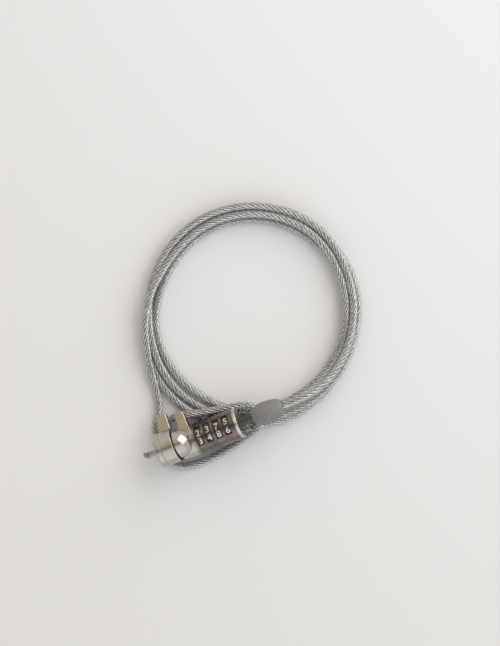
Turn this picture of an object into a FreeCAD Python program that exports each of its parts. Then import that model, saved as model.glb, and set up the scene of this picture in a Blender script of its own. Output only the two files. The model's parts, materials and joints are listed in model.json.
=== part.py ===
"""Laptop cable lock: a four-dial combination head with a turning T-bar, and 1.5 m of coiled steel cable.

Lock pieces are modelled on the tube's own axis (x towards the tail, z out of the dial windows, x = 0 at the
housing's front face). They are then rolled and tilted into the row frame, where +Z is up and the lock lies
along +X with its tail raised on the cable. The origin is under the middle of the lock. Lengths are in mm.
"""

import FreeCAD, Part
import math
import os

# Housing
TUBE_RADIUS = 8.4
MECHANISM_RISE = 0.4
CAVITY_FRONT = 8.3
DOME_RADIUS = 7.6
DOME_LENGTH = 8.0
HEAD_RISE = 8.2

# Head: collar, turning ring and T-bar
HEAD_RADIUS = 9.1
COLLAR_LENGTH = 3.4
COLLAR_ROUND = 1.1
RIM_ROUND = 0.25
RING_LENGTH = 6.7
RING_GAP = 0.6
HUB_RADIUS = 4.2
HUB_REACH = 2.6
SOCKET_DEPTH = 4.3
SPINDLE_RADIUS = 1.45
TBAR_NECK = 5.8
TBAR_THICKNESS = 1.8
TBAR_LENGTH = 6.7
TBAR_WIDTH = 2.7
STUD_LENGTH = 1.5
LUG_REACH = 17.3
LUG_THICKNESS = 4.0
LUG_TOP_WIDTH = 5.2
LUG_ROUND = 1.0
LUG_EDGE = 0.5
FIXED_LUG_SETBACK = 3.0
FIXED_LUG_WIDTH = 6.0
FIXED_LUG_REACH = 16.0
DRIVE_PIN_RADIUS = 0.6
HUB_PIN_RADIUS = 0.7
WASHER_RADIUS = 5.3
CLIP_RADIUS = 2.8
CLIP_THICKNESS = 0.5
TURN_DEGREES = 90.0

# Bolt
BOLT_RADIUS = 2.0
BOLT_TRAVEL = 1.2
BOLT_COLLAR_RADIUS = 2.9
BOLT_COLLAR_X = 5.4
BOLT_COLLAR_LENGTH = 0.8
NOSE_RADIUS = 0.85
NOSE_TOUCH = 0.1
FIN_LENGTH = 1.0
FIN_WIDTH = 1.2
FIN_REACH = 3.3
SPRING_WIRE = 0.4
SPRING_TURNS = 4
SPRING_POINTS_PER_TURN = 10
SEAT_THICKNESS = 0.4

# Dials
DIAL_COUNT = 4
DIAL_PITCH = 5.2
DIAL_WIDTH = 4.5
DIAL_RADIUS = 7.3
DIGIT_COUNT = 10
DIGIT_RELIEF = 0.15
GROOVE_RADIUS = 0.5
GROOVE_DEPTH = 0.3
DIAL_EDGE = 0.25
FIRST_DIAL_X = 11.9
DIAL_RIM = 1.8
CODE_RING_RECESS = 3.6
LAND_LENGTH = 1.4
GATE_CLEARANCE = 0.15
SPACER_THICKNESS = 0.5
WINDOW_WIDTH = 3.7
WINDOW_SPAN = 10.0
WINDOW_ROUND = 0.6
LEAF_THICKNESS = 0.3
LEAF_WIDTH = 3.6

# Tail
PLUG_LENGTH = 1.0
SPIGOT_LENGTH = 1.05
CAP_LENGTH = 1.5
CAP_WALL = 0.9
CAP_ROUND = 0.5
CAP_PIN_RADIUS = 0.5
FLANGE_RADIUS = 4.0
FLANGE_LENGTH = 1.25
NECK_RADIUS = 2.5
NECK_EXPOSED = 7.3
NECK_GRIP = 6.2
SLEEVE_LENGTH = 17.1
SLEEVE_RADIUS = 5.8
SLEEVE_WALL = 1.6
SLEEVE_FRONT_SHOULDER = 3.4
SLEEVE_REAR_SHOULDER = 4.6
SLEEVE_ROUND = 2.5
SLEEVE_END_RADIUS = 3.9

# Cable
CABLE_DIAMETER = 4.4
COIL_HEIGHT = 9.2
COIL_LAYER = 4.55
COIL_ROUND = 1.2
FERRULE_LENGTH = 10.0
FERRULE_WALL = 0.3

# Clearances
RUNNING = 0.05
FIT = 0.02
FACE_GAP = 0.1
DIAL_GAP = 0.1

# How the lock lies
TAIL_RISE_DEGREES = 11.5
WINDOW_ROLL_DEGREES = 11.5

# Places that follow from the sizes above
CAVITY_RADIUS = DIAL_RADIUS + DIGIT_RELIEF + DIAL_GAP
CODE_RING_RADIUS = DIAL_RADIUS - DIAL_RIM
RING_REAR = -RING_GAP
RING_FRONT = RING_REAR - RING_LENGTH
COLLAR_REAR = RING_FRONT - RUNNING
COLLAR_FRONT = COLLAR_REAR - COLLAR_LENGTH
RING_MIDDLE = (RING_FRONT + RING_REAR) / 2
TBAR_FRONT = COLLAR_FRONT - TBAR_NECK - TBAR_THICKNESS
HUB_PIN_X = HUB_REACH / 2
SPINDLE_REAR = HUB_REACH + 4 * FACE_GAP + CLIP_THICKNESS
NOSE_DISTANCE = HEAD_RISE - MECHANISM_RISE
NOSE_TIP = RING_REAR - NOSE_TOUCH
POCKET_FRONT = BOLT_COLLAR_X - BOLT_TRAVEL - FACE_GAP
CLIP_FRONT = HUB_REACH + FACE_GAP
CLIP_BORE = 0.65 * SPINDLE_RADIUS
DRIVE_PIN_REACH = HEAD_RADIUS - 4 * DRIVE_PIN_RADIUS
DIAL_CENTRES = [FIRST_DIAL_X + i * DIAL_PITCH for i in range(DIAL_COUNT)]
DIAL_END = DIAL_CENTRES[-1] + DIAL_WIDTH / 2
PLUG_FRONT = DIAL_END + FACE_GAP
PLUG_REAR = PLUG_FRONT + PLUG_LENGTH
TUBE_LENGTH = PLUG_REAR + SPIGOT_LENGTH
CAP_REAR = TUBE_LENGTH + CAP_LENGTH
FLANGE_REAR = CAP_REAR - CAP_WALL - FACE_GAP
FLANGE_FRONT = FLANGE_REAR - FLANGE_LENGTH
BOLT_REAR = FLANGE_FRONT - 2 * FACE_GAP
SLEEVE_FRONT = CAP_REAR + NECK_EXPOSED
SLEEVE_REAR = SLEEVE_FRONT + SLEEVE_LENGTH
NECK_REAR = SLEEVE_FRONT + NECK_GRIP
CABLE_RADIUS = CABLE_DIAMETER / 2
CRIMP_RADIUS = SLEEVE_RADIUS - SLEEVE_WALL
CRIMP_FRONT = SLEEVE_FRONT + SLEEVE_FRONT_SHOULDER / 2
CRIMP_REAR = SLEEVE_REAR - SLEEVE_REAR_SHOULDER / 2
AXIS_HEIGHT = TUBE_RADIUS * math.cos(math.radians(TAIL_RISE_DEGREES))

# The eye's crimp lies under the head, along Y.
# The cable runs through one side of it, and its end is held in the other.
FERRULE_X = -21.6
FERRULE_TOP_Y = 2.4
FERRULE_Z = 2.5
FERRULE_SPACING = CABLE_DIAMETER

# Cable routes in the row frame. The lead's first two points are on the lock's axis and come from its sizes.
LEAD_ROUTE = [
    (63.1, -4.2, 19.8),
    (75.1, 0.8, 16.0),
    (85.1, 8.8, 12.0),
    (91.6, 17.8, 8.6),
]
TAIL_ROUTE = [
    (-8.5, 60.2, 8.2),
    (-11.9, 48.4, 7.0),
    (-14.6, 36.8, 4.6),
    (-15.4, 25.6, 2.5),
    (-17.1, 16.8, 2.3),
    (-23.8, 7.8, 2.5),
]
EYE_ROUTE = [
    (-23.8, -11.0, 2.5),
    (-18.3, -16.4, 2.3),
    (-9.3, -18.0, 2.3),
    (2.8, -17.6, 2.6),
    (14.2, -15.4, 4.6),
    (25.8, -12.9, 6.6),
    (30.2, -8.5, 6.8),
    (30.2, -2.3, 6.8),
    (25.8, 2.1, 6.8),
    (14.2, 4.4, 6.8),
    (2.2, 6.6, 6.9),
    (-7.7, 9.4, 5.8),
    (-15.2, 9.4, 3.2),
    (-19.4, 5.3, 2.5),
]

# Coil outline: distance of its outer and inner edge from the coil's middle, by angle from +X
COIL_CENTRE = (46.8, 48.4)
COIL_OUTER = [
    (0, 56.4),
    (45, 55.4),
    (90, 55.0),
    (135, 55.6),
    (180, 60.4),
    (215, 64.8),
    (240, 64.2),
    (265, 63.0),
    (300, 60.6),
    (335, 57.8),
]
COIL_INNER = [
    (0, 47.6),
    (45, 44.9),
    (90, 43.9),
    (135, 46.4),
    (180, 49.4),
    (220, 52.0),
    (260, 51.0),
    (300, 48.8),
    (335, 47.8),
]
UNDER_LOCK_X = (-17.5, 36.0)
UNDER_LOCK_Y = (-26.0, 13.5)

V = FreeCAD.Vector
LOCAL_AXIS = V(1, 0, 0)
made = {}


def rod(x0, x1, radius, z=0.0, y=0.0):
    """A cylinder along the lock from x0 to x1."""
    return Part.makeCylinder(radius, x1 - x0, V(x0, y, z), LOCAL_AXIS)


def tube(x0, x1, outer, inner, z=0.0):
    """A round tube along the lock."""
    return rod(x0, x1, outer, z).cut(rod(x0 - 1, x1 + 1, inner, z))


def block(x0, x1, y0, y1, z0, z1):
    """A box between two corners."""
    return Part.makeBox(x1 - x0, y1 - y0, z1 - z0, V(x0, y0, z0))


def spoke(x, z, degrees, near, far, radius):
    """A radial pin about the axis at height z, from one distance to another; 0 degrees is +y, 90 is +z."""
    angle = math.radians(degrees)
    direction = V(0, math.cos(angle), math.sin(angle))
    return Part.makeCylinder(radius, far - near, V(x, 0, z) + direction * near, direction)


def sector(x0, x1, inner, outer, start, end, z):
    """Part of a tube along the lock, between two angles measured from +y towards +z."""
    wedge = Part.makeCylinder(outer, x1 - x0, V(0, 0, 0), V(0, 0, 1), end - start)
    wedge = wedge.cut(Part.makeCylinder(inner, x1 - x0, V(0, 0, 0), V(0, 0, 1)))
    wedge.rotate(V(0, 0, 0), V(0, 0, 1), start)
    wedge.rotate(V(0, 0, 0), V(1, 1, 1), 120)
    wedge.translate(V(x0, 0, z))
    return wedge


def turned(profile, z=0.0):
    """A solid of revolution about the lock's direction, from (x, radius) points."""
    points = [V(x, 0, z + r) for x, r in profile]
    face = Part.Face(Part.makePolygon(points + [points[0]]))
    return face.revolve(V(0, 0, z), LOCAL_AXIS, 360)


def plate(points, z0, z1):
    """A flat plate with its outline in x and y."""
    corners = [V(x, y, z0) for x, y in points]
    return Part.Face(Part.makePolygon(corners + [corners[0]])).extrude(V(0, 0, z1 - z0))


def circle_edges(shape, x, radius, z):
    """The whole round edges of a radius in the plane at x."""
    found = []
    for edge in shape.Edges:
        curve = edge.Curve
        if isinstance(curve, Part.Circle) and abs(curve.Radius - radius) < 1e-4:
            if abs(curve.Center.x - x) < 1e-4 and abs(curve.Center.z - z) < 1e-4:
                found.append(edge)
    return found


def upright_edges(shape, y_from):
    """The straight edges along z beyond a height in y."""
    found = []
    for edge in shape.Edges:
        ends = [v.Point for v in edge.Vertexes]
        if len(ends) == 2 and abs(ends[0].x - ends[1].x) < 1e-6 and abs(ends[0].y - ends[1].y) < 1e-6:
            if ends[0].y > y_from:
                found.append(edge)
    return found


def lug(x_tip, x_root, x_gap, y_root, y_tip, z, round_radius):
    """A finger lug: straight on its gap side, tapered on the other, with a rounded tip."""
    outline = [(x_gap, y_root), (x_gap, y_tip), (x_tip, y_tip), (x_root, y_root)]
    shape = plate(outline, z - LUG_THICKNESS / 2, z + LUG_THICKNESS / 2)
    shape = shape.makeFillet(round_radius, upright_edges(shape, y_tip - 1e-3))
    faces = [face for face in shape.Faces if abs(face.normalAt(0, 0).z) > 0.99]
    return shape.makeFillet(LUG_EDGE, [edge for face in faces for edge in face.Edges])


def rounded_route(points):
    """A smooth path of straight runs joined by tangent arcs, its length and its arc radii."""
    places = [V(*p) for p in points]
    edges = []
    radii = []
    start = places[0]
    for before, here, after in zip(places, places[1:], places[2:]):
        back = before - here
        ahead = after - here
        shorter = min(back.Length, ahead.Length)
        cut = 0.45 * shorter
        turn = math.pi - back.getAngle(ahead)
        radius = cut / math.tan(turn / 2)
        first = here + back.normalize() * cut
        last = here + ahead.normalize() * cut
        middle_way = (back + ahead).normalize()
        centre_distance = radius / math.cos(turn / 2)
        middle = here + middle_way * (centre_distance - radius)
        edges.append(Part.LineSegment(start, first).toShape())
        edges.append(Part.Arc(first, middle, last).toShape())
        radii.append(radius)
        start = last
    edges.append(Part.LineSegment(start, places[-1]).toShape())
    path = Part.Wire(edges)
    return path, path.Length, radii


def round_sweep(points, radius):
    """A round bar along a route, with the route's length and arc radii."""
    path, length, radii = rounded_route(points)
    start = V(*points[0])
    profile = Part.Wire(Part.makeCircle(radius, start, V(*points[1]) - start))
    return path.makePipeShell([profile], True, False, 2), length, radii


def housing():
    """Die-cast tube and domed barrel in one piece, with the fixed lug, dial windows and bores."""
    body = rod(0, TUBE_LENGTH, TUBE_RADIUS)
    dome = Part.makeSphere(DOME_RADIUS, V(DOME_LENGTH - DOME_RADIUS, 0, HEAD_RISE))
    dome = dome.cut(rod(-2 * DOME_RADIUS, 0, 2 * DOME_RADIUS, HEAD_RISE))
    cheek = block(0, FIXED_LUG_SETBACK + FIXED_LUG_WIDTH / 2, -HUB_RADIUS, HUB_RADIUS, 0, HEAD_RISE)
    cheek = cheek.common(rod(0, DOME_LENGTH, DOME_RADIUS, HEAD_RISE).fuse(body))
    fixed = lug(
        FIXED_LUG_SETBACK + FIXED_LUG_WIDTH * 0.8,
        FIXED_LUG_SETBACK + FIXED_LUG_WIDTH,
        FIXED_LUG_SETBACK,
        0,
        FIXED_LUG_REACH,
        HEAD_RISE - LUG_THICKNESS / 2,
        2 * LUG_ROUND,
    )
    body = body.fuse([dome, cheek, fixed]).removeSplitter()
    axis = MECHANISM_RISE
    cuts = [
        rod(-1, SOCKET_DEPTH, HUB_RADIUS + FIT, HEAD_RISE),
        rod(-1, CAVITY_FRONT + 1, BOLT_RADIUS + RUNNING, axis),
        rod(POCKET_FRONT, CAVITY_FRONT + 1, BOLT_COLLAR_RADIUS + 2 * FACE_GAP, axis),
        rod(CAVITY_FRONT, TUBE_LENGTH + 1, CAVITY_RADIUS, axis),
        spoke(HUB_PIN_X, HEAD_RISE, 180, 0, HEAD_RADIUS, HUB_PIN_RADIUS),
    ]
    for x in DIAL_CENTRES:
        half = WINDOW_WIDTH / 2
        opening = block(x - half, x + half, -WINDOW_SPAN / 2, WINDOW_SPAN / 2, 2, 2 * TUBE_RADIUS)
        cuts.append(opening.makeFillet(WINDOW_ROUND, upright_edges(opening, -WINDOW_SPAN)))
    floor = axis - CAVITY_RADIUS - 2 * LEAF_THICKNESS
    half = LEAF_WIDTH / 2 + FIT
    cuts.append(block(CAVITY_FRONT + 1, PLUG_FRONT, -half, half, floor, 0))
    for degrees in (225, 315):
        cuts.append(cap_pin(degrees, CAP_PIN_RADIUS))
    return body.cut(cuts)


def front_collar():
    """Front disc with its two anti-rotation studs, and the hub that the ring turns on."""
    disc = rod(COLLAR_FRONT, COLLAR_REAR, HEAD_RADIUS, HEAD_RISE)
    disc = disc.makeFillet(COLLAR_ROUND, circle_edges(disc, COLLAR_FRONT, HEAD_RADIUS, HEAD_RISE))
    disc = disc.makeFillet(RIM_ROUND, circle_edges(disc, COLLAR_REAR, HEAD_RADIUS, HEAD_RISE))
    hub = rod(COLLAR_REAR, HUB_REACH, HUB_RADIUS, HEAD_RISE)
    half_studs = TBAR_LENGTH / 2
    studs = block(
        COLLAR_FRONT - STUD_LENGTH,
        COLLAR_FRONT,
        -TBAR_WIDTH / 2,
        TBAR_WIDTH / 2,
        HEAD_RISE - half_studs,
        HEAD_RISE + half_studs,
    )
    shape = disc.fuse([hub, studs]).removeSplitter()
    bore = SPINDLE_RADIUS + RUNNING
    shape = shape.cut(rod(COLLAR_FRONT - 2 * STUD_LENGTH, HUB_REACH + 1, bore, HEAD_RISE))
    shape = shape.cut(spoke(HUB_PIN_X, HEAD_RISE, 180, HUB_RADIUS / 2, HEAD_RADIUS, HUB_PIN_RADIUS))
    margin = math.degrees(math.asin((DRIVE_PIN_RADIUS + FACE_GAP) / SPINDLE_RADIUS))
    half_slot = DRIVE_PIN_RADIUS + FACE_GAP
    slot = sector(
        RING_MIDDLE - half_slot,
        RING_MIDDLE + half_slot,
        SPINDLE_RADIUS,
        HUB_RADIUS + 1,
        180 - margin,
        180 + TURN_DEGREES + margin,
        HEAD_RISE,
    )
    return shape.cut(slot)


def turn_ring():
    """Ring with the finger lug; its rear face has the cam track that lets the bolt's nose in as it turns."""
    shape = rod(RING_FRONT, RING_REAR, HEAD_RADIUS, HEAD_RISE)
    rims = circle_edges(shape, RING_FRONT, HEAD_RADIUS, HEAD_RISE)
    shape = shape.makeFillet(RIM_ROUND, rims + circle_edges(shape, RING_REAR, HEAD_RADIUS, HEAD_RISE))
    finger = lug(
        RING_REAR - LUG_TOP_WIDTH, RING_FRONT, RING_REAR, HUB_RADIUS + 1, LUG_REACH, HEAD_RISE, LUG_ROUND
    )
    shape = shape.fuse(finger).removeSplitter()
    shape = shape.cut(rod(RING_FRONT - 1, RING_REAR + 1, HUB_RADIUS + RUNNING, HEAD_RISE))
    shape = shape.cut(spoke(RING_MIDDLE, HEAD_RISE, 180, 0, DRIVE_PIN_REACH, DRIVE_PIN_RADIUS))
    track = NOSE_RADIUS + 1.5 * FACE_GAP
    nose_angle = math.degrees(math.asin(track / NOSE_DISTANCE)) + 1
    steps = 12
    step = TURN_DEGREES / steps
    for i in range(-2, steps + 2):
        start = i * step
        reached = min(max(start + step + nose_angle, 0), TURN_DEGREES)
        depth = NOSE_TOUCH + FACE_GAP + BOLT_TRAVEL * reached / TURN_DEGREES
        shape = shape.cut(
            sector(
                RING_REAR - depth,
                RING_REAR + 1,
                NOSE_DISTANCE - track,
                NOSE_DISTANCE + track,
                270 - start - step,
                270 - start,
                HEAD_RISE,
            )
        )
    return shape


def tbar_spindle():
    """The T-bar: a crossbar that goes through the security slot, on a shaft through the hub."""
    bar = block(
        TBAR_FRONT,
        TBAR_FRONT + TBAR_THICKNESS,
        -TBAR_WIDTH / 2,
        TBAR_WIDTH / 2,
        HEAD_RISE - TBAR_LENGTH / 2,
        HEAD_RISE + TBAR_LENGTH / 2,
    )
    bar = bar.makeFillet(TBAR_THICKNESS / 4, bar.Edges)
    shaft = rod(TBAR_FRONT + TBAR_THICKNESS / 2, SPINDLE_REAR, SPINDLE_RADIUS, HEAD_RISE)
    shape = bar.fuse(shaft).removeSplitter()
    through = 2 * SPINDLE_RADIUS
    shape = shape.cut(spoke(RING_MIDDLE, HEAD_RISE, 180, -through, through, DRIVE_PIN_RADIUS))
    return shape.cut(tube(CLIP_FRONT, CLIP_FRONT + CLIP_THICKNESS, through, CLIP_BORE, HEAD_RISE))


def spindle_clip():
    """Open retaining clip in the spindle's groove, behind the hub."""
    clip = tube(CLIP_FRONT, CLIP_FRONT + CLIP_THICKNESS, CLIP_RADIUS, CLIP_BORE, HEAD_RISE)
    half = SPINDLE_RADIUS / 2
    return clip.cut(block(0, SPINDLE_REAR, 0, 2 * CLIP_RADIUS, HEAD_RISE - half, HEAD_RISE + half))


def drive_pin():
    """Cross pin that makes the ring turn the spindle, through the hub's slot."""
    near = FACE_GAP - SPINDLE_RADIUS
    return spoke(RING_MIDDLE, HEAD_RISE, 180, near, DRIVE_PIN_REACH - FACE_GAP, DRIVE_PIN_RADIUS)


def hub_pin():
    """Pin that holds the collar's hub in the housing."""
    return spoke(HUB_PIN_X, HEAD_RISE, 180, HUB_RADIUS / 2, DOME_RADIUS - 4 * FACE_GAP, HUB_PIN_RADIUS)


def ring_washer():
    """Thin washer between the ring and the housing's face."""
    return tube(RING_REAR + FACE_GAP, 0, WASHER_RADIUS, HUB_RADIUS + FIT, HEAD_RISE)


def lock_bolt():
    """Bolt on the dials' axis: a nose for the cam track, a spring collar and a fin for each dial."""
    axis = MECHANISM_RISE
    pieces = [
        rod(0.8, BOLT_REAR, BOLT_RADIUS, axis),
        rod(BOLT_COLLAR_X, BOLT_COLLAR_X + BOLT_COLLAR_LENGTH, BOLT_COLLAR_RADIUS, axis),
    ]
    for x in DIAL_CENTRES:
        rear = x - LAND_LENGTH / 2 - 2 * FACE_GAP
        pieces.append(block(rear - FIN_LENGTH, rear, -FIN_WIDTH / 2, FIN_WIDTH / 2, axis - FIN_REACH, axis))
    return rod(NOSE_TIP, 1.0, NOSE_RADIUS, axis).fuse(pieces).removeSplitter()


def bolt_spring():
    """Compression spring between the bolt's collar and its seat, wound from round wire."""
    start = BOLT_COLLAR_X + BOLT_COLLAR_LENGTH + SPRING_WIRE / 2 + FIT
    length = CAVITY_FRONT - SPRING_WIRE / 2 - FIT - start
    mean = BOLT_COLLAR_RADIUS - SPRING_WIRE / 2
    steps = round(SPRING_TURNS * SPRING_POINTS_PER_TURN)
    points = []
    for i in range(steps + 1):
        angle = 2 * math.pi * i / SPRING_POINTS_PER_TURN
        x = start + length * i / steps
        points.append((x, mean * math.cos(angle), MECHANISM_RISE + mean * math.sin(angle)))
    return round_sweep(points, SPRING_WIRE / 2)[0]


def spring_seat():
    """Plate that closes the spring's pocket and carries the spring."""
    rear = CAVITY_FRONT + SEAT_THICKNESS
    return tube(CAVITY_FRONT, rear, CAVITY_RADIUS - FIT, BOLT_RADIUS + RUNNING, MECHANISM_RISE)


def dial(x):
    """One number wheel with grip grooves between its ten places."""
    front = x - DIAL_WIDTH / 2
    wheel = rod(front, front + DIAL_WIDTH, DIAL_RADIUS, MECHANISM_RISE)
    rear = front + DIAL_WIDTH
    rims = circle_edges(wheel, front, DIAL_RADIUS, MECHANISM_RISE)
    rims += circle_edges(wheel, rear, DIAL_RADIUS, MECHANISM_RISE)
    wheel = wheel.makeChamfer(DIAL_EDGE, rims)
    wheel = wheel.cut(rod(front - 1, rear + 1, CODE_RING_RADIUS, MECHANISM_RISE))
    grooves = []
    distance = DIAL_RADIUS + GROOVE_RADIUS - GROOVE_DEPTH
    for i in range(DIGIT_COUNT):
        angle = math.radians(90 + 360 / DIGIT_COUNT * i)
        y = distance * math.cos(angle)
        z = MECHANISM_RISE + distance * math.sin(angle)
        grooves.append(rod(front - 1, front + DIAL_WIDTH + 1, GROOVE_RADIUS, z, y))
    return wheel.cut(grooves)


def code_ring(x):
    """Ring inside a dial: its land has the gate that lets the bolt's fin through."""
    front = x - DIAL_WIDTH / 2
    axis = MECHANISM_RISE
    shape = rod(front, front + DIAL_WIDTH, CODE_RING_RADIUS, axis)
    shape = shape.cut(rod(front - 1, x - LAND_LENGTH / 2, CODE_RING_RECESS, axis))
    shape = shape.cut(rod(x + LAND_LENGTH / 2, front + DIAL_WIDTH + 1, CODE_RING_RECESS, axis))
    shape = shape.cut(rod(front - 1, front + DIAL_WIDTH + 1, BOLT_RADIUS + RUNNING, axis))
    half_gate = FIN_WIDTH / 2 + GATE_CLEARANCE
    gate = block(front - 1, front + DIAL_WIDTH + 1, -half_gate, half_gate, axis - CODE_RING_RECESS, axis)
    return shape.cut(gate)


def dial_spacers():
    """Fixed rings that keep the dials apart: one in front of the first, and one in each gap."""
    inner = CODE_RING_RADIUS + 2 * FACE_GAP
    outer = CAVITY_RADIUS - FIT
    rings = []
    first_front = CAVITY_FRONT + SEAT_THICKNESS
    first_rear = DIAL_CENTRES[0] - DIAL_WIDTH / 2 - FACE_GAP
    spans = [(first_front, first_rear)]
    for x in DIAL_CENTRES[:-1]:
        middle = x + DIAL_PITCH / 2
        spans.append((middle - SPACER_THICKNESS / 2, middle + SPACER_THICKNESS / 2))
    for front, rear in spans:
        rings.append(tube(front, rear, outer, inner, MECHANISM_RISE))
    return Part.makeCompound(rings)


def detent_spring():
    """Leaf under the dials, with one raised bump for each."""
    floor = MECHANISM_RISE - CAVITY_RADIUS - 2 * LEAF_THICKNESS
    top = floor + LEAF_THICKNESS
    leaf = block(CAVITY_FRONT + 1 + FIT, PLUG_FRONT - FIT, -LEAF_WIDTH / 2, LEAF_WIDTH / 2, floor, top)
    bumps = []
    for x in DIAL_CENTRES:
        bumps.append(rod(x - LEAF_WIDTH / 2, x + LEAF_WIDTH / 2, LEAF_THICKNESS, top))
    return leaf.fuse(bumps).removeSplitter()


def rear_plug():
    """Bush behind the last dial, which guides the bolt's end."""
    return tube(PLUG_FRONT, PLUG_REAR, CAVITY_RADIUS - FIT, BOLT_RADIUS + RUNNING, MECHANISM_RISE)


def cap_pin(degrees, radius):
    """A radial pin through the housing's wall into the cap's spigot."""
    x = (PLUG_REAR + TUBE_LENGTH) / 2
    return spoke(x, MECHANISM_RISE, degrees, CAVITY_RADIUS - 1.4, TUBE_RADIUS + 0.3, radius)


def cap_pins():
    """The two pins that hold the rear cap."""
    return Part.makeCompound([cap_pin(degrees, CAP_PIN_RADIUS) for degrees in (225, 315)])


def rear_cap():
    """Bright end cap: a spigot in the tube, and a wall that traps the cable anchor's flange."""
    disc = rod(TUBE_LENGTH, CAP_REAR, TUBE_RADIUS)
    disc = disc.makeFillet(CAP_ROUND, circle_edges(disc, CAP_REAR, TUBE_RADIUS, 0))
    shape = disc.fuse(rod(PLUG_REAR, TUBE_LENGTH, CAVITY_RADIUS - FIT, MECHANISM_RISE)).removeSplitter()
    shape = shape.cut(rod(PLUG_REAR - 1, CAP_REAR - CAP_WALL, FLANGE_RADIUS + 2 * FACE_GAP))
    shape = shape.cut(rod(0, CAP_REAR + 1, NECK_RADIUS + RUNNING))
    return shape.cut([cap_pin(degrees, CAP_PIN_RADIUS) for degrees in (225, 315)])


def cable_anchor():
    """Turning neck that joins the cable to the lock, trapped by its flange."""
    flange = rod(FLANGE_FRONT, FLANGE_REAR, FLANGE_RADIUS)
    return flange.fuse(rod(FLANGE_REAR, NECK_REAR, NECK_RADIUS)).removeSplitter()


def tail_ferrule():
    """Metal crimp over the anchor's neck and the cable's end, inside the sleeve."""
    shape = rod(CRIMP_FRONT, CRIMP_REAR, CRIMP_RADIUS)
    shape = shape.cut(rod(CRIMP_FRONT - 1, NECK_REAR, NECK_RADIUS))
    return shape.cut(rod(NECK_REAR, CRIMP_REAR + 1, CABLE_RADIUS + FIT))


def cable_sleeve():
    """Grey moulded sleeve over the tail crimp, a barrel with rounded shoulders."""
    barrel_front = SLEEVE_FRONT + SLEEVE_FRONT_SHOULDER
    barrel_rear = SLEEVE_REAR - SLEEVE_REAR_SHOULDER
    outline = [
        (SLEEVE_FRONT, 0),
        (SLEEVE_FRONT, SLEEVE_END_RADIUS),
        (barrel_front, SLEEVE_RADIUS),
        (barrel_rear, SLEEVE_RADIUS),
        (SLEEVE_REAR, SLEEVE_END_RADIUS),
        (SLEEVE_REAR, 0),
    ]
    shape = turned(outline)
    for x in (barrel_front, barrel_rear):
        shape = shape.makeFillet(SLEEVE_ROUND, circle_edges(shape, x, SLEEVE_RADIUS, 0))
    shape = shape.cut(rod(CRIMP_FRONT, CRIMP_REAR, CRIMP_RADIUS))
    shape = shape.cut(rod(SLEEVE_FRONT - 1, NECK_REAR, NECK_RADIUS))
    return shape.cut(rod(NECK_REAR, SLEEVE_REAR + 1, CABLE_RADIUS + FIT))


def cable_tube(name, points):
    """A round cable along a route; prints its length, volume and arc radii."""
    shape, length, radii = round_sweep(points, CABLE_RADIUS)
    ideal = math.pi * CABLE_RADIUS**2 * length
    print(
        f"{name}: length {length:.1f} mm, volume {shape.Volume:.1f} of {ideal:.1f} mm3, radii",
        " ".join(f"{r:.1f}" for r in radii),
    )
    return shape


def eye_ferrule():
    """Flat-sided crimp that closes the eye: two bores side by side along Y, edges rounded."""
    half_height = CABLE_RADIUS + FERRULE_WALL
    bottom = FERRULE_TOP_Y - FERRULE_LENGTH
    down = V(0, -1, 0)
    left = V(FERRULE_X - FERRULE_SPACING / 2, FERRULE_TOP_Y, FERRULE_Z)
    right = V(FERRULE_X + FERRULE_SPACING / 2, FERRULE_TOP_Y, FERRULE_Z)
    shape = Part.makeCylinder(half_height, FERRULE_LENGTH, left, down)
    shape = shape.fuse(Part.makeCylinder(half_height, FERRULE_LENGTH, right, down))
    web = block(left.x, right.x, bottom, FERRULE_TOP_Y, FERRULE_Z - half_height, FERRULE_Z + half_height)
    shape = shape.fuse(web).removeSplitter()
    for side in (left, right):
        shape = shape.cut(Part.makeCylinder(CABLE_RADIUS + FIT, FERRULE_LENGTH + 2, side - down, down))
    return shape


def coil_outline(rim, z):
    """A closed smooth outline round the coil's middle, through points given by angle and distance."""
    points = []
    for degrees, distance in rim:
        angle = math.radians(degrees)
        points.append(V(distance * math.cos(angle), distance * math.sin(angle), z) + V(*COIL_CENTRE, 0))
    curve = Part.BSplineCurve()
    curve.interpolate(points, PeriodicFlag=True)
    return Part.Wire(curve.toShape())


def cable_coil(seat):
    """Outer shape of the coiled turns: a ring two layers high, one layer high under the lock seated on it."""
    shape = Part.Face(coil_outline(COIL_OUTER, 0)).extrude(V(0, 0, COIL_HEIGHT))
    shape = shape.cut(Part.Face(coil_outline(COIL_INNER, -1)).extrude(V(0, 0, COIL_HEIGHT + 2)))
    top = [edge for edge in shape.Edges if abs(edge.BoundBox.ZMin - COIL_HEIGHT) < 1e-3]
    shape = shape.makeFillet(COIL_ROUND, top)
    shape = shape.cut(block(*UNDER_LOCK_X, *UNDER_LOCK_Y, COIL_LAYER, 2 * COIL_HEIGHT))
    return shape.cut(seat)


LOCK_PIECES = {
    "housing": housing,
    "front_collar": front_collar,
    "turn_ring": turn_ring,
    "tbar_spindle": tbar_spindle,
    "spindle_clip": spindle_clip,
    "drive_pin": drive_pin,
    "hub_pin": hub_pin,
    "ring_washer": ring_washer,
    "lock_bolt": lock_bolt,
    "bolt_spring": bolt_spring,
    "spring_seat": spring_seat,
    "dial_spacers": dial_spacers,
    "detent_spring": detent_spring,
    "rear_plug": rear_plug,
    "cap_pins": cap_pins,
    "rear_cap": rear_cap,
    "cable_anchor": cable_anchor,
    "tail_ferrule": tail_ferrule,
    "cable_sleeve": cable_sleeve,
}
ON_THE_CORD = ("tail_ferrule", "cable_sleeve")

for name, build in LOCK_PIECES.items():
    made[name] = build()
for number, x in enumerate(DIAL_CENTRES, 1):
    made[f"dial_{number}"] = dial(x)
    made[f"code_ring_{number}"] = code_ring(x)

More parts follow.
